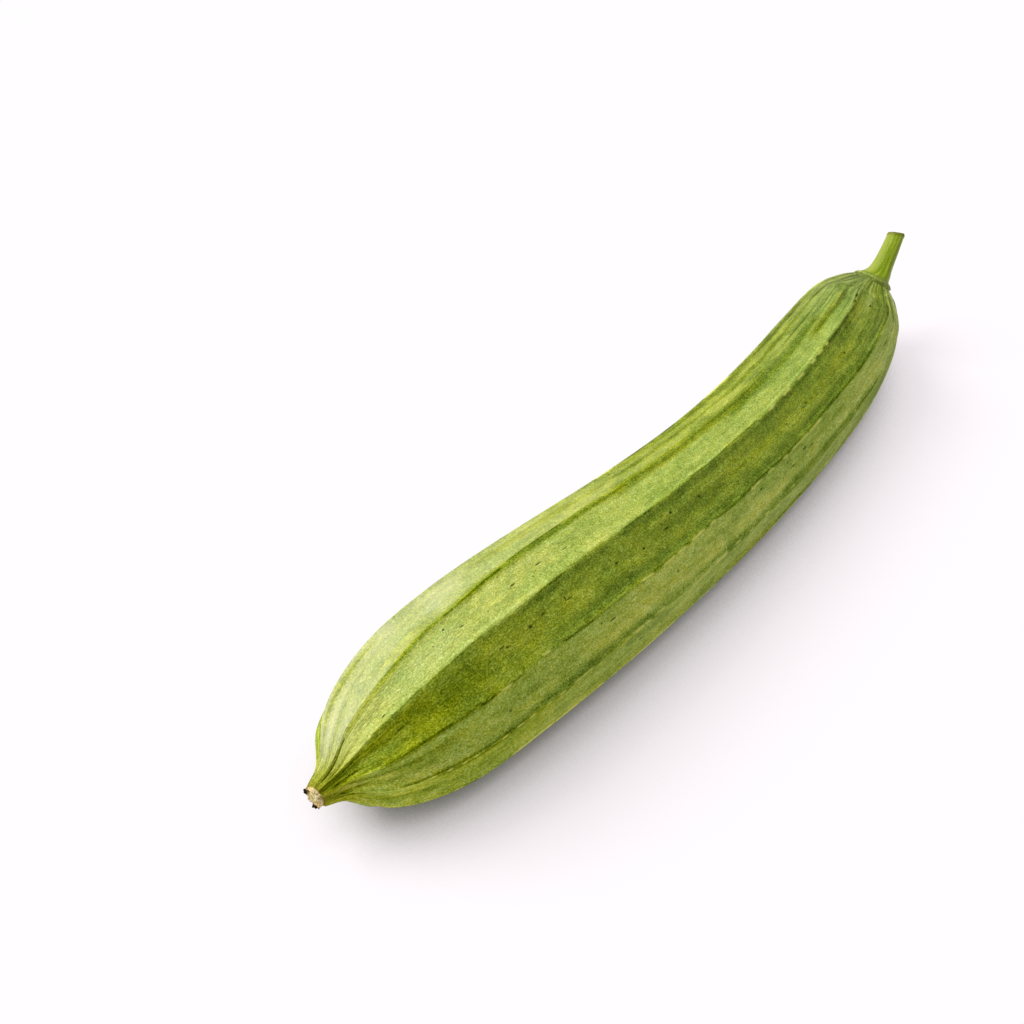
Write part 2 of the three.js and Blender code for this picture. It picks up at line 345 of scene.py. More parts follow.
def fruit_surface(share, around):
    """Points of the skin on a grid of shares and ridge numbers, and how deep each lies in a crease.
    A point's angle lies between its two ridges' angles, and its radius is that of the straight
    line between their crests, less the hollow, the groove beside the ridge, the pleats and the
    creases. Below the surface that the fruit lies on, points stop at that surface."""
    angles = ridge_angles(share)
    ridge = np.floor(around).astype(int)
    across = around - ridge
    start = angles[:, ridge]
    width = angles[:, ridge + 1] - start
    crest = crest_radius(share)[:, None]
    share = share[:, None]
    along = share * FRUIT_LENGTH
    around = np.broadcast_to(around, width.shape)
    flat = np.cos(np.radians(width / 2)) / np.cos(np.radians(width * (across - 0.5)))
    hollow = HOLLOW + NECK_HOLLOW * bell(share, NECK_REACH)
    hollow += SHOULDER_HOLLOW * bell(1 - share, SHOULDER_REACH)
    radius = crest * (flat - hollow * (4 * across * (1 - across)) ** HOLLOW_POWER)
    reach = at_ridges(RIDGE_REACH, share[:, 0])
    radius += reach[:, ridge] * (1 - across) + reach[:, ridge + 1] * across
    room = np.minimum(crest / GROOVE_ROOM, 1)
    past = across * np.radians(width) * crest
    short = (1 - across) * np.radians(width) * crest
    grooves = np.array(GROOVES)
    swell = 1 + GROOVE_SWELL * patchwork(along, around, 24, 20, 2)
    after = grooves[ridge, 1] * bell(past - GROOVE_OFFSET * room, GROOVE_WIDTH * room)
    before = grooves[(ridge + 1) % RIDGES, 0] * bell(short - GROOVE_OFFSET * room, GROOVE_WIDTH * room)
    fade_in = ease((along - GROOVE_START) / GROOVE_FADE)
    radius -= (after + before) * swell * room**2 * fade_in
    off = np.minimum(past, short)
    radius -= BEAD_ROUNDING * bell(off, BEAD_WIDTH) * room
    dents = WIDE_DENTS * patchwork(along, around, 23, 30, 3)
    dents += SMALL_DENTS * patchwork(along, around, 8, 60, 4)
    radius -= (DENT_DEPTH + dents) * ease(off / DENT_START) * room
    ends = bell(share - NECK_PLEATS, PLEATS_REACH)
    ends += SHOULDER_PLEATING * bell(SHOULDER_PLEATS - share, PLEATS_REACH)
    pleats = WIDE_PLEATS * patchwork(along, around, 22, 50, 5)
    pleats += SMALL_PLEATS * patchwork(along, around, 14, 80, 6)
    radius -= (PLEAT_DEPTH + pleats) * ends * ease(off / PLEAT_START) * np.minimum(crest / PLEAT_ROOM, 1)
    crease = creases(along, around, crest)
    radius -= crease * np.minimum(crest / CREASE_ROOM, 1)
    centre, sideways, upward = ring_frame(share[:, 0])
    angle = np.radians(start + width * across)
    spoke = np.sin(angle)[..., None] * sideways[:, None] + np.cos(angle)[..., None] * upward[:, None]
    points = centre[:, None] + radius[..., None] * spoke - MIDDLE
    points[..., 2] = np.maximum(points[..., 2], 0)
    return points, crease


# %% [markdown]
# The grid is closer where the form changes fast: at the two ends, and beside the ridges. A sine added
# to even steps does that, and can't fold the grid as long as it is weaker than the steps.

# %% The fruit's mesh
RINGS = 480
STEPS_PER_RIDGE = 20
END_CROWDING, RIDGE_CROWDING = 0.6, 0.7
UNROLLED_RADIUS = 28.0


def crowded(count, strength):
    """Steps from 0 towards 1 that stand closer at both ends: t - strength sin(2 pi t) / (2 pi)."""
    t = np.linspace(0, 1, count)
    return t - strength * np.sin(2 * np.pi * t) / (2 * np.pi)


share = crowded(RINGS, END_CROWDING)
within = crowded(STEPS_PER_RIDGE + 1, RIDGE_CROWDING)[:-1]
around = (np.arange(RIDGES)[:, None] + within).ravel()
points, crease = fruit_surface(share, around)
fruit = closed_mesh("fruit_skin", points)


def unroll(along, numbers):
    """The skin rolled out along one axis: millimetres along, then the turn's cosine and sine."""
    turn = 2 * np.pi * numbers / RIDGES
    parts = np.broadcast_arrays(along, UNROLLED_RADIUS * np.cos(turn), UNROLLED_RADIUS * np.sin(turn))
    return np.stack(parts, -1)


along = share[:, None] * FRUIT_LENGTH
around = around[None, :]
add_values(fruit, "unrolled", unroll(along, around))
print("lowest and highest point:", points[..., 2].min().round(2), points[..., 2].max().round(2))

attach(fruit, "root")
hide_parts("fruit")

# %% [markdown]
# ## Where the skin changes
# The greens aren't the same all over. The blossom end is pale and frosty, most of all on the top stretch,
# where the frost is also painted sheen, and the top two stretches darken towards the shoulder, partly as
# painted shade. Lengthwise bands beside the ridges are darker, cooler or more yellow, and a few wide ones
# are painted light and shade. All of that changes slowly, so each point of the mesh can carry it: how
# light, how frosty and how warm it is.

# %% Light, frost and warmth of the skin
# For each stretch between two ridges: light, frost and warmth at the blossom end, then at the shoulder.
# The frost on the top stretches is also painted sheen, and on stretches 1 and 2 the fall in light
# towards the shoulder is partly painted shade.
STRETCHES = {
    1: ((0.72, 0.45, 0.9), (0.42, 0.08, 0.5)),
    2: ((0.77, 0.13, 0.6), (0.55, 0.06, 0.1)),
    3: ((0.6, 0, 0.6), (0.56, 0.02, 0.4)),
    4: ((0.72, 0, 0.4), (0.77, 0.04, 0.2)),
    5: ((0.7, 0, 0.5), (0.5, 0.1, 0.1)),
}
PLAIN_STRETCH = ((0.7, 0.05, 0.5), (0.55, 0.1, 0.1))
FROST_AND_SHEEN_REACH = 100.0
RIDGE_BLEND = 0.05
# Ridge number, half width in ridge numbers, start and end in millimetres, then what the band adds to
# light and to warmth.
# Narrow dark bands beside the ridges are part dark green and part painted shade in the grooves there. The
# wide bands that change light alone, at ridge numbers 2.50, 3.50 and 5.35, are painted light and shade.
BANDS = [
    (1.33, 0.08, 80, 135, -0.07, 0.4), (1.90, 0.05, 36, 90, -0.07, -0.1),
    (2.00, 0.05, 22, 66, -0.22, 0), (1.98, 0.08, 54, 138, -0.15, -0.1),
    (1.78, 0.14, 28, 64, -0.07, 0), (1.72, 0.16, 78, 104, 0.05, 0),
    (1.75, 0.10, 140, 240, 0.05, 0), (1.94, 0.05, 130, 250, -0.11, 0.2),
    (1.09, 0.04, 4, 48, -0.10, 0.7), (1.50, 0.06, 150, 325, -0.10, 0.5),
    (1.66, 0.04, 170, 300, 0.06, 0.2), (1.15, 0.08, 150, 320, -0.08, 0.5),
    (1.36, 0.05, 190, 300, 0.05, 0.1), (1.77, 0.05, 255, 325, 0.03, -0.3),
    (1.62, 0.20, 20, 110, 0.05, -0.2), (2.50, 0.30, 24, 64, 0.04, -0.3),
    (1.45, 0.05, 90, 190, -0.05, 0.3), (1.87, 0.03, 256, 300, -0.12, 0.3),
    (2.07, 0.03, 6, 44, -0.03, 0.7), (2.05, 0.045, 60, 245, -0.15, 0.1),
    (2.13, 0.08, 130, 240, -0.09, 0.3), (2.24, 0.10, 200, 295, -0.13, 0.1),
    (2.05, 0.04, 240, 285, 0.10, 0.3), (2.48, 0.18, 120, 245, 0.03, 0),
    (2.66, 0.14, 185, 270, 0.04, 0), (2.52, 0.08, 268, 322, -0.16, 0.6),
    (2.38, 0.06, 268, 335, 0.03, 0.4), (2.74, 0.13, 282, 335, -0.04, -0.4),
    (2.50, 0.25, 284, 318, -0.04, 0), (2.50, 0.25, 314, 350, 0.05, 0),
    (2.92, 0.05, 45, 268, 0.07, 0), (3.10, 0.08, 70, 275, -0.06, -0.2),
    (3.22, 0.14, 4, 42, -0.07, 0.4), (3.50, 0.30, 22, 62, -0.11, 0.1),
    (3.50, 0.30, 312, 350, 0.05, 0), (3.72, 0.12, 14, 48, -0.05, 0.1),
    (3.45, 0.15, 185, 325, 0.04, 0.05), (3.88, 0.09, 75, 318, -0.09, -0.35),
    (3.49, 0.018, 160, 262, -0.07, 0.1), (3.43, 0.018, 258, 320, -0.07, 0.2),
    (3.97, 0.05, 12, 62, -0.12, 0.3), (4.32, 0.10, 12, 44, -0.10, 0.3),
    (4.62, 0.12, 22, 70, 0.05, 0), (5.06, 0.05, 30, 100, -0.11, 0.1),
    (4.62, 0.16, 85, 325, 0.07, 0.2), (4.20, 0.14, 225, 275, -0.05, -0.1),
    (4.41, 0.03, 222, 268, -0.10, 0.1), (4.92, 0.06, 38, 266, -0.13, -0.3),
    (5.05, 0.06, 22, 88, -0.10, 0.2), (5.08, 0.08, 188, 266, -0.14, 0.1),
    (5.50, 0.20, 0, 32, 0.04, 0.1), (5.35, 0.30, 24, 78, -0.08, 0),
    (5.35, 0.25, 238, 292, 0.06, 0), (5.35, 0.25, 312, 348, -0.05, 0),
]
BAND_FADE = 12.0
BAND_WANDER = 0.06
FROST_AND_SHEEN_LOSS = 8
HIDDEN_STRETCHES = [0, 5, 6, 7, 8, 9]
BANDS_PER_HIDDEN = 4


def stretch_levels(along, around):
    """Light, frost and warmth between the ridges, the frost being partly painted sheen. Light and warmth
    change evenly from the blossom end to the shoulder, frost falls off as a bell, and each stretch blends
    over its ridge into the next."""
    even = along / FRUIT_LENGTH
    passed = np.hstack([even, 1 - bell(along, FROST_AND_SHEEN_REACH), even])
    levels = np.empty((RIDGES, len(along), 3))
    for number in range(RIDGES):
        blossom, shoulder = np.array(STRETCHES.get(number, PLAIN_STRETCH))
        levels[number] = blossom + (shoulder - blossom) * passed
    number = np.floor(around[0]).astype(int)
    across = around[0] - number
    into_next = 0.5 * ease((across - 1 + RIDGE_BLEND) / RIDGE_BLEND)
    from_last = 0.5 * ease((RIDGE_BLEND - across) / RIDGE_BLEND)
    here = (1 - into_next - from_last)[:, None, None] * levels[number]
    after = into_next[:, None, None] * levels[(number + 1) % RIDGES]
    before = from_last[:, None, None] * levels[(number - 1) % RIDGES]
    return (here + after + before).transpose(1, 0, 2)


def random_bands():
    """Bands for the stretches that have none of their own, seeded so that they never change."""
    noise = np.random.default_rng(SEED + 20)
    rows = []
    for number in np.repeat(HIDDEN_STRETCHES, BANDS_PER_HIDDEN):
        start = noise.uniform(0, 220)
        end = start + noise.uniform(50, 160)
        change = noise.uniform(-0.1, 0.06), noise.uniform(-0.4, 0.5)
        rows.append((number + noise.uniform(0, 1), noise.uniform(0.04, 0.14), start, end, *change))
    return rows


levels = stretch_levels(along, around)
shift = BAND_WANDER * patchwork(along, around, 19, 30, 8)
for number, width, start, end, light, warmth in BANDS + random_bands():
    aside = shorter_way(around - number + shift)
    fade = ease((along - start) / BAND_FADE) * ease((end - along) / BAND_FADE)
    band = bell(aside, width) * fade
    levels[..., 0] += light * band
    levels[..., 2] += warmth * band
    levels[..., 1] *= 1 - min(max(-FROST_AND_SHEEN_LOSS * light, 0), 1) * band
add_values(fruit, "levels", levels)
print("light:", levels[..., 0].min().round(2), "to", levels[..., 0].max().round(2))

# %% [markdown]
# ## Lines and dashes along the ridges
# Each ridge carries thin broken lines, cream where the crest has dried and dark or lime where the skin
# beside it is drawn in. The cream dashes also paint highlights on the crest's small beads, and the dark
# lines also paint the shade beside a raised crest and in the creases. The mesh is finest there, so its
# points can carry these lines too.

# %% Lines along the ridges
CREAM_AND_HIGHLIGHT, DARK_AND_SHADE, LIME = 0, 1, 2
LINE_HALF_WIDTH = 0.4
LINE_END, LINE_FADE = 0.5, 1.5
# Crease depth in millimetres at which the painted shade in a crease is darkest.
DARKEST_CREASE_SHADE = 0.6
# Ridge number, colour, then the start and end of each line in millimetres.
LINES = [
    (2.08, LIME, (14, 36)),
    (2.00, LIME, (36, 62)),
    (2.03, DARK_AND_SHADE, (58, 84)),
    (1.97, DARK_AND_SHADE, (88, 112)),
    (1.99, LIME, (128, 182)),
    (2.98, DARK_AND_SHADE, (18, 37)),
    (3.00, DARK_AND_SHADE, (38, 62), (126, 143)),
    (3.02, DARK_AND_SHADE, (84, 96)),
    (3.02, LIME, (94, 127)),
    (2.985, LIME, (141, 166), (209, 217)),
    (2.97, DARK_AND_SHADE, (164, 209)),
    (3.02, CREAM_AND_HIGHLIGHT, (217, 222), (229, 235), (241, 247), (254, 258), (261, 266)),
    (3.03, CREAM_AND_HIGHLIGHT, (269, 272)),
    (3.04, DARK_AND_SHADE, (258, 332)),
    (2.99, DARK_AND_SHADE, (305, 317)),
    (2.90, DARK_AND_SHADE, (336, 347)),
    (3.97, DARK_AND_SHADE, (16, 38), (122, 155)),
    (4.03, DARK_AND_SHADE, (48, 54), (60, 66)),
    (4.03, CREAM_AND_HIGHLIGHT, (56, 60), (227, 236)),
    (4.00, LIME, (66, 73)),
    (3.98, CREAM_AND_HIGHLIGHT, (74, 77), (147, 155)),
    (4.01, DARK_AND_SHADE, (83, 96)),
    (3.97, LIME, (94, 122)),
    (3.99, CREAM_AND_HIGHLIGHT, (120, 126), (139, 144)),
    (4.00, CREAM_AND_HIGHLIGHT, (131, 138), (158, 162)),
    (3.98, DARK_AND_SHADE, (155, 177), (241, 301)),
    (3.975, DARK_AND_SHADE, (176, 243)),
    (4.015, CREAM_AND_HIGHLIGHT, (184, 191), (213, 226)),
    (4.01, CREAM_AND_HIGHLIGHT, (196, 200), (206, 210)),
    (3.95, DARK_AND_SHADE, (298, 346)),
    (4.96, DARK_AND_SHADE, (18, 62)),
    (5.02, CREAM_AND_HIGHLIGHT, (25.5, 28), (62, 65), (75, 78)),
    (5.03, CREAM_AND_HIGHLIGHT, (31, 33), (40, 42), (50.5, 53.5), (69.5, 72)),
    (5.04, CREAM_AND_HIGHLIGHT, (36, 38)),
    (5.01, CREAM_AND_HIGHLIGHT, (57, 60), (82, 91)),
    (4.98, LIME, (95, 109)),
    (4.98, CREAM_AND_HIGHLIGHT, (111, 116), (117, 120), (157, 164), (208, 210)),
    (4.96, CREAM_AND_HIGHLIGHT, (123, 128)),
    (4.97, CREAM_AND_HIGHLIGHT, (169, 172)),
    (4.99, CREAM_AND_HIGHLIGHT, (178, 181), (189, 191)),
    (4.95, DARK_AND_SHADE, (264, 292)),
]
HIDDEN_RIDGES = [0, 1, 6, 7, 8, 9]
DASHES_PER_HIDDEN = 14


def random_lines():
    """Dashes for the ridges that have none of their own, seeded so that they never change."""
    noise = np.random.default_rng(SEED + 30)
    rows = []
    for ridge in np.repeat(HIDDEN_RIDGES, DASHES_PER_HIDDEN):
        start = noise.uniform(12, 320)
        length = noise.uniform(3, 26)
        place = ridge + noise.uniform(-0.03, 0.03)
        rows.append((place, int(noise.integers(0, 3)), (start, start + length)))
    return rows


crest = crest_radius(share)[:, None]
lines = np.zeros((len(share), around.shape[1], 3))
for number, kind, *spans in LINES + random_lines():
    across = bell(beside(around, number, crest), LINE_HALF_WIDTH)
    for start, end in spans:
        fade = ease((along - start + LINE_END) / LINE_FADE) * ease((end + LINE_END - along) / LINE_FADE)
        lines[..., kind] = np.maximum(lines[..., kind], across * fade)
# The creases are painted dark by their depth: painted shade.
lines[..., DARK_AND_SHADE] = np.maximum(lines[..., DARK_AND_SHADE], np.minimum(crease / DARKEST_CREASE_SHADE, 1))
add_values(fruit, "lines", lines)
print(f"{len(LINES) + len(random_lines())} rows of lines")

# %% [markdown]
# ## The stem
# The stalk was cut a finger's width above the fruit. It flares into a collar where it joins, has
# five blunt ribs, and swells a little at the cut, whose face is slightly sunken. It is a profile of
# radius against distance, carried along a path that bends upwards, with the ribs as a wave around it.

# %% Stem
GAP = 0.3
CUT_RISE, CUT_TURN = 55.0, 2.5
STEM_DISTANCES = [-0.8, 0, 0.7, 1.6, 2.4, 4.2, 6.6, 10, 15, 21.5, 22.9, 23.6]
STEM_RADII = [8.0, 8.4, 9, 8.4, 7.3, 6, 5.1, 4.5, 4.1, 3.75, 3.9, 3.5]
STEM_SET_ASIDE = 1.4
CUT_SLANT = 0.2
STEM_RIBS = 5
STEM_RINGS, STEM_SIDES = 160, 120
STEM_COLOUR_RADIUS = 4.0
LIP_PLACE, LIP_WIDTH, LIP_BUMP = 0.9, 0.8, 0.3
CUT_DEPTH = 0.5
CUT_RINGS = 14
CUT_SWELLING = 23.1
SLANT_START = 18


def waves(angle, slowest, fastest, seed):
    """An uneven outline that closes on itself: a sum of seeded cosines around a circle, at most 1."""
    noise = np.random.default_rng(SEED + seed)
    total = np.zeros(angle.shape)
    for count in range(slowest, fastest):
        total += noise.uniform(0.3, 1) / count**0.6 * np.cos(count * angle + noise.uniform(0, 2 * np.pi))
    return total / np.abs(total).max()


def bearing(part):
    """The stem's direction, at a part of the way from its collar to its cut."""
    rise = COLLAR_RISE + (CUT_RISE - COLLAR_RISE) * part
    return heading(rise, COLLAR_TURN + (CUT_TURN - COLLAR_TURN) * part)


def stem_surface(angle):
    """Rings along the bent path, then rings that shrink over the cut face. The radius follows the
    profile, less a wave with one crest for each rib, and the collar's lip is uneven. The face is
    lower in its middle. Also gives each ring's distance along the stem."""
    length = STEM_DISTANCES[-1] - STEM_DISTANCES[0]
    distance = STEM_DISTANCES[0] + crowded(STEM_RINGS, END_CROWDING) * length
    part = distance / STEM_DISTANCES[-1]
    root = axis_point(np.array([1.0]))[0] + heading(COLLAR_RISE, COLLAR_TURN) * GAP
    shrink = np.linspace(1, 0.06, CUT_RINGS)[1:]
    cut = np.ones(len(shrink))
    sunk = CUT_DEPTH * ease((1 - shrink) / 0.45)
    part = np.r_[part, cut]
    along = bearing(part)
    path = np.r_[distance, STEM_DISTANCES[-1] * cut][:, None]
    centre = root + bearing(part / 2) * path - [0, STEM_SET_ASIDE, 0] * ease((path - 1) / 5)
    centre[len(distance) :] -= along[len(distance) :] * sunk[:, None]
    profile = smooth(STEM_DISTANCES, STEM_RADII, distance)
    radius = np.r_[profile, profile[-1] * shrink][:, None]
    reach = np.r_[distance, STEM_DISTANCES[-1] + (1 - shrink) * profile[-1]][:, None]
    ribs = 0.5 - 0.5 * np.cos(STEM_RIBS * angle + 0.6)
    fine = 0.5 + 0.5 * np.cos(3 * STEM_RIBS * angle + 1.9)
    strength = 0.05 + 0.06 * bell(reach - 6, 5) + 0.04 * bell(reach - CUT_SWELLING, 1.5)
    strength = strength * ease((reach - 1.5) / 2)
    lip = LIP_BUMP * bell(reach - LIP_PLACE, LIP_WIDTH) * waves(angle, 3, 26, 60)
    rim = 0.12 * bell(reach - CUT_SWELLING, 0.7) * waves(angle, 4, 20, 61)
    radius = radius * (1 - strength * ribs - 0.015 * fine) + lip + rim
    sideways, upward = across_axes(along)
    spoke = np.sin(angle)[:, None] * sideways[:, None] + np.cos(angle)[:, None] * upward[:, None]
    slanting = ease((path - SLANT_START) / (STEM_DISTANCES[-1] - SLANT_START))
    slant = CUT_SLANT * np.sin(angle) * radius * slanting
    return centre[:, None] + radius[..., None] * spoke + slant[..., None] * along[:, None] - MIDDLE, reach


stem_angle = circle(STEM_SIDES)
stem_points, reach = stem_surface(stem_angle)
stem = closed_mesh("stalk", stem_points)
turned = STEM_COLOUR_RADIUS * np.cos(stem_angle), STEM_COLOUR_RADIUS * np.sin(stem_angle)
stem_place = np.stack(np.broadcast_arrays(reach, *turned), -1)
add_values(stem, "unrolled", stem_place)

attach(stem, "root")
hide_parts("stem")

# %% [markdown]
# ## The dried scar
# Where the flower fell, a shallow cup of dry tissue is left: a torn tan rim with a few dark flakes that
# curl away from it, about a paler middle of pith. It is a profile turned about the blossom end's axis,
# leaning a little to one side, with bells that raise the flakes and bite into the rim.

# %% Scar
SCAR_RISE = 8.0
SCAR_SIDES = 144
SCAR_RADIUS = 3.35
# Part of the way from the middle of the cup to its rim, and how far out it stands there.
CUP_PARTS = [0, 0.35, 0.58, 0.7, 0.82, 0.92, 1]
CUP_HEIGHTS = [1.0, 0.95, 0.7, 0.45, 1.05, 1.35, 1.15]
CUP_LEAN_SIDE, CUP_LEAN_UP = 0.13, 0.16
CUP_RINGS, WALL_RINGS = 34, 14
RIM_START, RIM_RISE = 0.68, 0.2
RIM_RAGGED, SPREAD_RAGGED, FIBRE_DEPTH = 0.12, 0.08, 0.14
# Angle and half width of each flake, then how far it stands out and how far it spreads.
FLAKES = [
    (292, 12, 0.3, 0.5), (272, 7, 0.3, 0.35), (181, 8, 0.35, 0.6),
    (161, 7, 0.3, 0.35), (136, 6, 0.25, 0.4),
]
# Angle and half width of each bite, and its depth as a part of the rim's height.
BITES = [(318, 10, 0.5), (240, 12, 0.45), (196, 9, 0.6), (146, 10, 0.55), (20, 12, 0.2), (75, 8, 0.15)]


def spread(angle, centre, half_width):
    """A bell around the cup, at an angle in degrees."""
    aside = (np.degrees(angle) - centre + 180) % 360 - 180
    return bell(aside, half_width)


def scar_surface(angle):
    """Rings from the middle of the cup out to the rim, then back along the wall to the fruit. The
    profile is leant over, raised at the flakes and cut at the bites. Also gives, for each point, how
    dark, how pithy and how far out along the rim it is."""
    part = np.linspace(0.04, 1, CUP_RINGS)[:, None]
    rim = ease((part - RIM_START) / RIM_RISE)
    flake = sum(out * spread(angle, centre, width) for centre, width, out, wide in FLAKES)
    widen = sum(wide * spread(angle, centre, width) for centre, width, out, wide in FLAKES)
    bite = sum(depth * spread(angle, centre, width) for centre, width, depth in BITES)
    rough_edge = waves(angle, 5, 40, 40)
    fibres = waves(angle, 7, 30, 41) * np.sin(9 * part + 4 * waves(angle, 3, 9, 42))
    height = smooth(CUP_PARTS, CUP_HEIGHTS, part) + FIBRE_DEPTH * fibres * (1 - rim)
    height = height * (1 - bite * rim) + (flake + RIM_RAGGED * rough_edge) * rim
    ragged = widen + SPREAD_RAGGED * rough_edge
    radius = SCAR_RADIUS * part + ragged * rim * part
    lean = CUP_LEAN_SIDE * np.sin(angle) + CUP_LEAN_UP * np.cos(angle)
    cup_out = height + lean * SCAR_RADIUS * part
    down = np.linspace(1, 0, WALL_RINGS + 1)[1:, None]
    wall_out = cup_out[-1] * down
    wall_radius = SCAR_RADIUS * 1.03 + ragged * down**2 + 0.1 * down * (1 - down)
    wall_radius += 0.07 * waves(angle, 8, 34, 43) * (1 - down)
    out = np.vstack([cup_out, wall_out])
    radius = np.vstack([radius, wall_radius])
    dark = np.minimum(flake * 6, 1) * ease((part - 0.72) / 0.12)
    # At one side, just inside the rim, the hollow is painted dark: brown tissue and painted shade.
    dark = np.maximum(dark, 0.6 * spread(angle, 315, 45) * bell(part - 0.74, 0.1))
    pith = 1 - ease((part - 0.5) / 0.16)
    wall_dark = np.minimum(flake * 6, 1) * ease((down - 0.3) / 0.4)
    dark = np.vstack([dark, wall_dark])
    pith = np.vstack([np.broadcast_to(pith, cup_out.shape), np.zeros(wall_out.shape)])
    outwards = -heading(-SCAR_RISE, 0.0)
    sideways, upward = across_axes(-outwards)
    root = axis_point(np.array([0.0]))[0] + outwards * GAP
    spoke = np.sin(angle)[:, None] * sideways + np.cos(angle)[:, None] * upward
    points = root + out[..., None] * outwards + radius[..., None] * spoke - MIDDLE
    return points, np.stack([dark, pith, np.broadcast_to(rough_edge, dark.shape)], -1)


scar_angle = circle(SCAR_SIDES)
scar_points, dryness = scar_surface(scar_angle)
scar = closed_mesh("flower_scar", scar_points)
add_values(scar, "dryness", dryness)
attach(scar, "root")
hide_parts("blossom_scar")

# %% [markdown]
# ## Writing materials as sums
# A material is a web of nodes. Wrapping each output in a small class lets Python's own operators add
# the Math nodes, so a mask reads like a formula. One method adds every other kind of node.

# %% Node helpers


def both_ways(operation):
    """An operator and its reflected form."""
    return (
        lambda self, other: self.maths(operation, self, other),
        lambda self, other: self.maths(operation, other, self),
    )


class Value:
    """One output that carries a number. The operators add Math nodes to its material."""

    def __init__(self, finish, socket):
        self.finish = finish
        self.socket = socket

    def maths(self, operation, *others):
        return self.finish.value("ShaderNodeMath", {"operation": operation}, dict(enumerate(others)))

    __add__, __radd__ = both_ways("ADD")
    __sub__, __rsub__ = both_ways("SUBTRACT")
    __mul__, __rmul__ = both_ways("MULTIPLY")

    def __abs__(self):
        return self.maths("ABSOLUTE", self)

    def steps(self, low, high, start=0.0, end=1.0):
        """Start below low, end above high, and a smooth step between them."""
        settings = {"interpolation_type": "SMOOTHSTEP"}
        values = {"Value": self, "From Min": low, "From Max": high, "To Min": start, "To Max": end}
        return self.finish.value("ShaderNodeMapRange", settings, values)

    def near(self, centre, width):
        """1 at the centre, falling smoothly to 0 at the width on either side."""
        return abs(self - centre).steps(0, width, 1, 0)


class Finish:
    """A material whose nodes are added one at a time."""

    def __init__(self, name):
        self.material = bpy.data.materials.new(name)
        self.material.use_nodes = True
        self.tree = self.material.node_tree
        self.tree.nodes.clear()

    def node(self, kind, settings, values):
        """Adds a node: its settings first, then each socket's number, colour code or link."""
        node = self.tree.nodes.new(kind)
        for name, setting in settings.items():
            if name == "stops":
                self.set_stops(node.color_ramp, setting)
            else:
                setattr(node, name, setting)
        for name, value in values.items():
            if isinstance(value, Value):
                value = value.socket
            if isinstance(value, str):
                value = paint(value)
            if isinstance(value, bpy.types.NodeSocket):
                self.tree.links.new(value, node.inputs[name])
            else:
                node.inputs[name].default_value = value
        return node

    def set_stops(self, ramp, stops):
        while len(ramp.elements) < len(stops):
            ramp.elements.new(1.0)
        for element, (place, code) in zip(ramp.elements, stops):
            element.position = place
            element.color = paint(code)

    def parts(self, vector):
        """The three numbers of a vector."""
        outputs = self.node("ShaderNodeSeparateXYZ", {}, {0: vector}).outputs
        return [Value(self, output) for output in outputs]

    def value(self, kind, settings, values, output=0):
        return Value(self, self.node(kind, settings, values).outputs[output])

    def noise(self, vector, scale, detail=2.0, roughness=0.5, distortion=0.0):
        """Noise about 0.5, on a vector in millimetres."""
        values = {"Vector": vector, "Scale": scale, "Detail": detail, "Roughness": roughness}
        return self.value("ShaderNodeTexNoise", {}, {**values, "Distortion": distortion})

    def stretched(self, vector, scales):
        """The vector with each of its parts multiplied by its own number."""
        return self.node("ShaderNodeVectorMath", {"operation": "MULTIPLY"}, {0: vector, 1: scales}).outputs[0]

    def patches(self, vector, along, around, detail, roughness, low=0.3):
        """Noise from 0 to 1 on a rolled-out skin, finer where its scale is larger."""
        noise = self.noise(self.stretched(vector, (along, around, around)), 1.0, detail, roughness)
        return noise.steps(low, 1 - low)

    def mix(self, amount, one, other):
        """One colour where amount is 0, the other where it is 1."""
        node = self.node("ShaderNodeMix", {"data_type": "RGBA"}, {0: amount, 6: one, 7: other})
        return node.outputs[2]

    def ramp(self, amount, stops):
        """A colour that goes through the stops as amount goes from 0 to 1."""
        return self.node("ShaderNodeValToRGB", {"stops": stops}, {0: amount}).outputs[0]

    def object_millimetres(self):
        """A point's place in the object, in millimetres."""
        place = self.node("ShaderNodeTexCoord", {}, {}).outputs["Object"]
        scaled = self.node("ShaderNodeVectorMath", {"operation": "SCALE"}, {0: place, "Scale": 1 / MM})
        return scaled.outputs[0]

    def attribute(self, name):
        """What each point of the mesh carries under a name."""
        return self.node("ShaderNodeAttribute", {"attribute_name": name}, {}).outputs["Vector"]

    def cover(self, piece, colour, roughness, height, relief, shine):
        """Ends the web in the shader that Blender calls Principled, with a bump for its normal, and
        gives the finish to a piece."""
        bump_values = {"Height": height, "Distance": relief * MM, "Strength": 1.0}
        bump = self.node("ShaderNodeBump", {}, bump_values)
        values = {"Base Color": colour, "Roughness": roughness, "Normal": bump.outputs[0]}
        shader = self.node("ShaderNodeBsdfPrincipled", {}, {**values, "Specular IOR Level": shine})
        self.node("ShaderNodeOutputMaterial", {}, {"Surface": shader.outputs[0]})
        piece.data.materials.append(self.material)
        print(f"{piece.name} has {len(self.tree.nodes)} nodes")


def paint(code):
    """A colour code such as #8fa63c, as the linear numbers that Blender works in."""
    parts = [int(code[i : i + 2], 16) / 255 for i in (1, 3, 5)]
    return (*[p / 12.92 if p <= 0.04045 else ((p + 0.055) / 1.055) ** 2.4 for p in parts], 1.0)


# %% [markdown]
# ## The skin
# Close up, the skin is a fine, worm-like speckle of pale yellow-green on mid green, over cloudy patches
# and lengthwise fibres that gather at both ends. Each is a mask, and their sum, with the light that the
# mesh carries, picks a green. Warm skin takes it from a yellower row of greens, cool skin from a bluer.

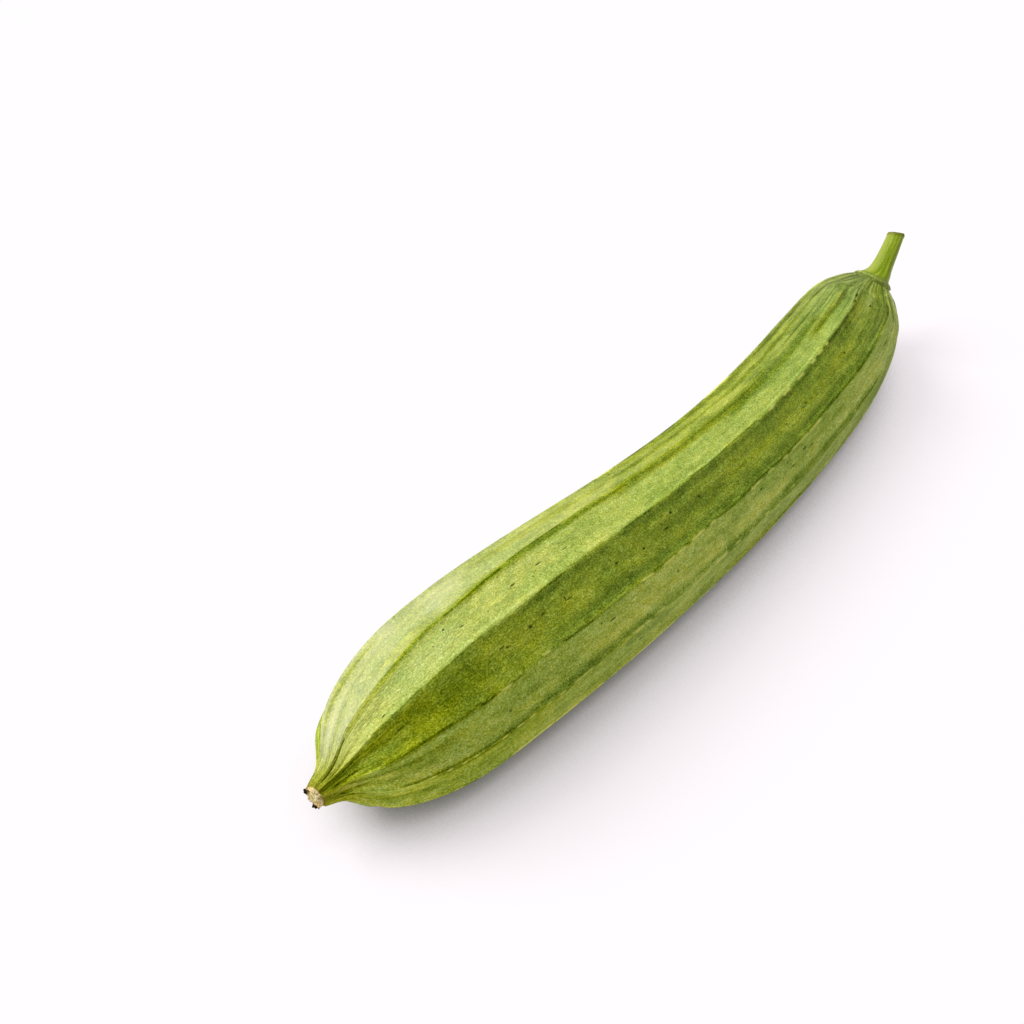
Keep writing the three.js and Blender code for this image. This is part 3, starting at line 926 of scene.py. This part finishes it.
# %% Skin masks
skin = Finish("gourd_skin")
spot = skin.object_millimetres()
unrolled = skin.attribute("unrolled")
mm_along = skin.parts(unrolled)[0]
light, frost_and_sheen, warmth = skin.parts(skin.attribute("levels"))
cream_and_highlight_line, dark_and_shade_line, lime_line = skin.parts(skin.attribute("lines"))

grit = skin.patches(unrolled, 1.4, 2.3, 2.0, 0.6, 0.34)
curls = skin.noise(spot, 0.9, 1.0, 0.5, 2.0).near(0.5, 0.11)
speckle = skin.noise(spot, 1.1, 2.0, 0.6, 1.2).steps(0.36, 0.64)
mottle = skin.patches(unrolled, 0.2, 0.3, 3.0, 0.6)
cloud = skin.patches(unrolled, 0.05, 0.1, 2.0, 0.5)
fibre = skin.patches(unrolled, 0.035, 0.9, 3.0, 0.6)
streak = skin.patches(unrolled, 0.02, 0.24, 2.0, 0.6)
tint = skin.noise(skin.stretched(unrolled, (0.2, 0.3, 0.3)), 1.3, 1.5, 0.5, 0.6).steps(0.3, 0.7)
print("skin masks ready")

# %% Skin colour
GREENS = [(0, "#202a08"), (0.25, "#4a5f15"), (0.5, "#79922a"), (0.75, "#abc44c"), (1, "#dcec92")]
WARM_GREENS = [(0, "#202801"), (0.25, "#4d5c02"), (0.5, "#809009"), (0.75, "#bcc226"), (1, "#eaeb64")]
COOL_GREENS = [(0, "#1b2a0c"), (0.25, "#435d26"), (0.5, "#6d9041"), (0.75, "#9cc26a"), (1, "#ccecaa")]
FROST_AND_SHEEN = "#e4e6cc"
CREAM_AND_HIGHLIGHT_SKIN = "#e2e674"
NECK_END = 40
SHOULDER_FROM, SHOULDER_FULL = 265, 335
TIP_FULL, TIP_END = 2, 13
neck = mm_along.steps(0, NECK_END, 1, 0)
shoulder = mm_along.steps(SHOULDER_FROM, SHOULDER_FULL)
tip = mm_along.steps(TIP_FULL, TIP_END, 1, 0)
level = light + (grit - 0.5) * 0.24 + (curls - 0.4) * 0.2 + (speckle - 0.5) * 0.08 - tip * 0.02
level = level + (mottle - 0.5) * (0.11 + 0.12 * neck) + (cloud - 0.5) * 0.12
level = level + (fibre - 0.5) * (0.06 + 0.1 * neck + 0.22 * shoulder)
level = level + (streak - 0.5) * (0.08 + 0.22 * shoulder)
# Cream dashes lighten the skin as painted highlights, dark lines darken it as dark green and painted shade.
level = level + cream_and_highlight_line * 0.25 - dark_and_shade_line * 0.27 + lime_line * 0.06
warm = warmth + (tint - 0.5) * 0.25 - (grit - 0.5) * 0.1 - (curls - 0.4) * 0.06
warm = warm + (cloud - 0.5) * 0.3 + tip * 0.6 + lime_line * 0.15 + dark_and_shade_line * 0.15
# Frost, which on the top stretches is also painted sheen, fades at the tip and under the dark and lime lines.
frost_and_sheen_mix = frost_and_sheen * (1 + (cloud - 0.5) * 0.6) * (1 - tip * 0.9) * (1 - dark_and_shade_line) * (1 - lime_line)
frost_and_sheen_mix = frost_and_sheen_mix + shoulder * streak * 0.07
colour = skin.ramp(level, GREENS)
colour = skin.mix(warm.steps(0, 1), colour, skin.ramp(level, WARM_GREENS))
colour = skin.mix(warm.steps(-1, 0, 1, 0), colour, skin.ramp(level, COOL_GREENS))
colour = skin.mix(frost_and_sheen_mix, colour, FROST_AND_SHEEN)
# The cream dashes: dried crest and painted highlights on its beads.
colour = skin.mix(cream_and_highlight_line * 0.8, colour, CREAM_AND_HIGHLIGHT_SKIN)
print(f"{len(GREENS)} greens in a row")

# %% [markdown]
# Small dark marks are scattered over it: pricks that a Voronoi pattern places, and scratches and scabs
# at places of their own. A mark is a soft spot around its place on the rolled-out skin.

# %% Marks
# Millimetres along, ridge number, half length and half width in millimetres.
MARKS = [
    (12.4, 2.12, 1.2, 0.5), (8.8, 2.07, 0.8, 0.4),
    (24, 2.78, 0.7, 0.4), (55, 2.27, 0.6, 0.5),
    (60, 2.50, 1.0, 0.3), (81.4, 2.50, 1.1, 0.45),
    (93.8, 2.46, 1.5, 0.35), (105, 2.55, 1.3, 0.3),
    (25, 3.36, 1.0, 0.5), (66.2, 3.46, 0.9, 0.45),
    (64.6, 3.40, 1.2, 0.3), (76, 3.42, 0.8, 0.7),
    (82, 3.37, 1.1, 0.4), (91.7, 3.39, 0.35, 0.9),
    (93, 3.44, 1.2, 0.3), (116, 3.45, 0.9, 0.5),
    (128.5, 3.52, 0.7, 0.5), (141.5, 3.48, 1.5, 0.35),
    (147, 3.28, 0.8, 0.6), (162, 3.40, 0.7, 0.6),
    (220, 3.52, 1.2, 0.3), (236, 3.52, 0.8, 0.35),
    (275, 3.48, 1.2, 0.45), (307.5, 3.01, 1.6, 0.6),
    (314, 2.98, 2.3, 0.8), (313.5, 3.43, 1.3, 0.6),
    (343, 2.90, 2.2, 0.5), (57, 4.58, 0.7, 0.5),
    (104, 4.33, 1.5, 0.4), (138, 4.42, 0.8, 0.4),
    (190, 4.25, 0.9, 0.5), (209, 4.22, 1.2, 0.4),
    (222, 4.33, 1.7, 0.7), (212, 4.47, 1.7, 0.4),
    (227, 4.45, 1.9, 0.4), (303, 4.47, 2.6, 0.5),
    (314, 4.52, 1.3, 0.6), (118, 5.45, 1.0, 0.6),
]
HIDDEN_MARKS = 16
noise = np.random.default_rng(SEED + 50)
hidden = zip(noise.uniform(20, 330, HIDDEN_MARKS), noise.uniform(5.6, 11.4, HIDDEN_MARKS))
marks = MARKS + [(mm, number, 1.1, 0.45) for mm, number in hidden]
scab = None
for mm, number, half_length, half_width in marks:
    away = skin.node("ShaderNodeVectorMath", {"operation": "SUBTRACT"}, {0: unrolled, 1: unroll(mm, number)})
    shape = skin.stretched(away.outputs[0], (1 / half_length, 1 / half_width, 1 / half_width))
    distance = skin.value("ShaderNodeVectorMath", {"operation": "LENGTH"}, {0: shape}, "Value")
    mark = distance.steps(0.5, 1.25, 1, 0)
    scab = mark if scab is None else scab.maths("MAXIMUM", scab, mark)
pricks = skin.node("ShaderNodeTexVoronoi", {"feature": "F1"}, {"Vector": spot, "Scale": 0.24})
few = skin.parts(pricks.outputs["Color"])[0].steps(0.72, 0.76)
prick = Value(skin, pricks.outputs["Distance"]).steps(0.05, 0.11, 1, 0) * few
ragged = scab * (0.7 + 0.3 * speckle)
colour = skin.mix(prick * 0.6, colour, "#3b4a0c")
colour = skin.mix(ragged * 0.9, colour, "#26270a")
root_tan = mm_along.steps(0, 3, 1, 0) * (0.3 + 0.7 * mottle)
colour = skin.mix(root_tan * 0.6, colour, "#a3922a")
print(f"{len(marks)} marks")

# %% Skin shader
SKIN_RELIEF = 0.18
rough = 0.58 + 0.12 * mottle
height = grit * 0.3 + curls * 0.5 + mottle * 0.5 + fibre * (0.3 + neck + shoulder) - ragged - prick * 0.6
skin.cover(fruit, colour, rough, height, SKIN_RELIEF, 0.0)

# %% [markdown]
# ## The stem's and the scar's finish
# The stalk is a fresh lime green with fine lengthwise streaks, greyer on its side towards the light and
# a little darker, as painted shade, on the side away from it. Its collar is paler and scuffed, and the cut
# has dried brown at the rim. The scar is dry and woody: tan with darker grain, nearly black where a flake
# has curled, brown and in painted shade in the hollow inside one side of its rim, and pale green in the pith.

# %% Stem colour
# Places along the stem, in millimetres from the fruit, and the widths of the rings there.
COLLAR_FULL, COLLAR_END = 1.7, 3.6
CREAM_RING, FOLD_RING, RING_WIDTH = 0.15, 2.3, 0.6
RIM_PLACE, RIM_WIDTH = 23.5, 1.9
PITH_START, PITH_FULL = 24.2, 25.2
STEM_RELIEF = 0.14
stalk = Finish("stem_skin")
stem_spot = stalk.object_millimetres()
stem_unrolled = stalk.attribute("unrolled")
up_stem, towards_top, towards_side = stalk.parts(stem_unrolled)
stem_streak = stalk.patches(stem_unrolled, 0.07, 0.9, 3.0, 0.6)
stem_grit = stalk.noise(stem_spot, 1.6, 3.0, 0.65).steps(0.3, 0.7)
grey_side = (towards_top * 0.5 - towards_side * 0.87).steps(0.8, 4)
# The side away from the light is painted a little darker: painted shade.
painted_shade_side = (towards_side * 0.94 - towards_top * 0.34).steps(1.5, 4)
stem_level = 0.5 + (stem_streak - 0.5) * 0.5 + (stem_grit - 0.5) * 0.25 - painted_shade_side * 0.12
stem_colour = stalk.ramp(stem_level, [(0, "#6c820c"), (0.5, "#90a81a"), (1, "#b8c844")])
stem_colour = stalk.mix(grey_side * 0.65, stem_colour, "#9aa044")
collar = up_stem.steps(COLLAR_FULL, COLLAR_END, 1, 0)
scuffed = stalk.ramp(stem_grit, [(0, "#4f6014"), (0.45, "#8a9a34"), (1, "#b4c468")])
stem_colour = stalk.mix(collar * 0.9, stem_colour, scuffed)
cream_ring = up_stem.near(CREAM_RING, RING_WIDTH) * (0.35 + 0.65 * stem_streak)
stem_colour = stalk.mix(cream_ring * 0.35, stem_colour, "#d6dc9a")
fold = up_stem.near(FOLD_RING, RING_WIDTH) * stem_grit
stem_colour = stalk.mix(fold * 0.6, stem_colour, "#4c5212")
cut_rim = up_stem.near(RIM_PLACE, RIM_WIDTH) * (0.4 + 0.6 * stem_grit)
stem_colour = stalk.mix(cut_rim * 0.9, stem_colour, "#4f4208")
pith = up_stem.steps(PITH_START, PITH_FULL)
stem_colour = stalk.mix(pith * 0.7, stem_colour, "#a9a552")
stem_height = stem_streak + stem_grit * 0.5
stalk.cover(stem, stem_colour, 0.5, stem_height, STEM_RELIEF, 0.2)

# %% Scar colour
SCAR_RELIEF = 0.2
dry = Finish("dried_scar")
dry_spot = dry.object_millimetres()
burnt_and_shade, pithy, torn = dry.parts(dry.attribute("dryness"))
grain = dry.noise(dry_spot, 1.5, 3.0, 0.6).steps(0.3, 0.7)
green_grain = dry.noise(dry_spot, 0.9, 2.0, 0.5).steps(0.4, 0.6)
dry_colour = dry.ramp(grain, [(0, "#a87e36"), (0.4, "#dcc285"), (1, "#f8eabc")])
pith_colour = dry.mix(green_grain, "#ece2b0", "#b4bc62")
dry_colour = dry.mix(pithy * (0.6 + 0.4 * grain), dry_colour, pith_colour)
# Dark where flakes have curled, and painted shade in the hollow inside the rim.
burnt_and_shade_colour = dry.ramp(burnt_and_shade, [(0, "#a87428"), (0.4, "#5a3a10"), (0.85, "#160d05")])
dry_colour = dry.mix((burnt_and_shade * 1.8).steps(0, 1), dry_colour, burnt_and_shade_colour)
dry_height = grain + torn * 0.3
dry.cover(scar, dry_colour, 0.9, dry_height, SCAR_RELIEF, 0.1)

# %% [markdown]
# ## The floor and the light
# A plain pale floor catches a soft shadow. It works as a light table: it glows where the space over
# it is open, and less beside the gourd, so it stays white while the shadow stays soft. One wide light
# stands behind the gourd, high up, and a dim pale surround fills in from everywhere else.

# %% Floor
FLOOR_HALF = 3.0
GLOW = 0.765
GLOW_REACH = 0.05
GLOW_START, GLOW_FULL = 0.1, 0.78
floor_mesh = bpy.data.meshes.new("floor")
corners = [(x * FLOOR_HALF, y * FLOOR_HALF, 0) for x, y in ((-1, -1), (1, -1), (1, 1), (-1, 1))]
floor_mesh.from_pydata(corners, [], [(0, 1, 2, 3)])
floor = add_object("floor", floor_mesh)
pale = Finish("light_table")
openness = pale.value("ShaderNodeAmbientOcclusion", {"samples": 8}, {"Distance": GLOW_REACH}, "AO")
glow = pale.mix(openness.steps(GLOW_START, GLOW_FULL), "#000000", "#fff8fd")
flat_finish = {"Base Color": "#828081", "Roughness": 0.9, "Specular IOR Level": 0.1}
glowing = {"Emission Color": glow, "Emission Strength": GLOW}
table = pale.node("ShaderNodeBsdfPrincipled", {}, {**flat_finish, **glowing})
pale.node("ShaderNodeOutputMaterial", {}, {"Surface": table.outputs[0]})
floor_mesh.materials.append(pale.material)
print(f"floor {2 * FLOOR_HALF:.0f} m wide")

# %% Light
LIGHT_FROM = Vector((-0.25, 0.62, 0.75))
LIGHT_STRENGTH, LIGHT_WIDTH = 3.4, 35
SURROUND_STRENGTH = 0.4
sun_data = bpy.data.lights.new("soft_light", "SUN")
sun_data.energy = LIGHT_STRENGTH
sun_data.angle = math.radians(LIGHT_WIDTH)
sun = add_object("soft_light", sun_data)
sun.rotation_euler = LIGHT_FROM.to_track_quat("Z", "Y").to_euler()

surround = bpy.data.worlds.new("surround")
surround.use_nodes = True
background = surround.node_tree.nodes["Background"]
background.inputs["Color"].default_value = (1, 1, 1, 1)
background.inputs["Strength"].default_value = SURROUND_STRENGTH
bpy.context.scene.world = surround
bpy.context.scene.view_settings.view_transform = "Standard"
print(f"light {LIGHT_WIDTH} degrees wide, surround at {SURROUND_STRENGTH}")
